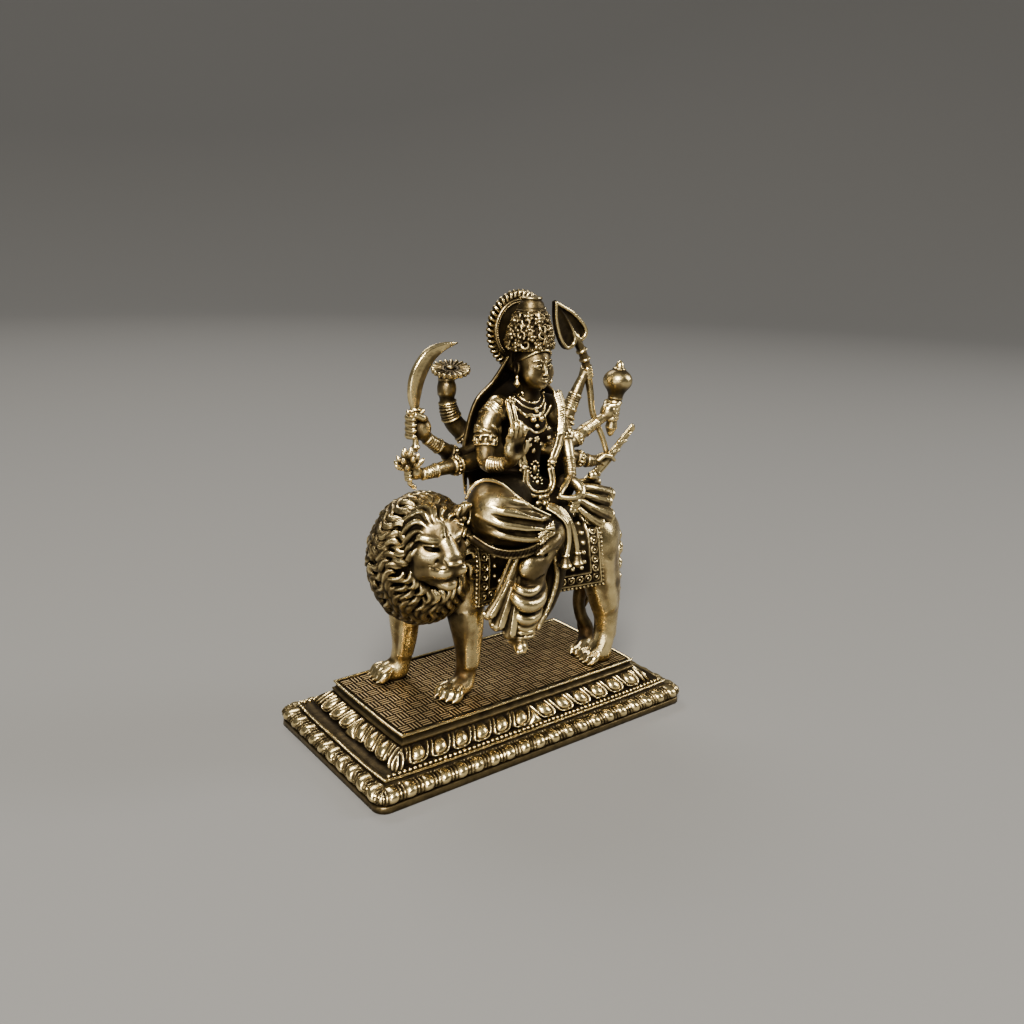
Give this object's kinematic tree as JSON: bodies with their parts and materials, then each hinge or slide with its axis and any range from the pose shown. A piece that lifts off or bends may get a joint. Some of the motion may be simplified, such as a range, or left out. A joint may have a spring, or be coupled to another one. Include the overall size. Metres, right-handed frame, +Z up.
{
  "type": "durga figure",
  "caption": "Small cast brass figure of a many-armed goddess riding a lion, in one with its lotus plinth.",
  "frame": {"origin": "centre of the plinth's flat underside", "axes": "+Z up; X along the plinth's length with the lion's head at -X; the goddess faces -Y"},
  "size_m": [0.0797, 0.0426, 0.0892],
  "materials": {
    "antique_brass": "antiqued: dark brown in the hollows, polished pale gold on the high places"
  },
  "bodies": {
    "root": {"durga_figure": "antique_brass"}
  },
  "joints": []
}
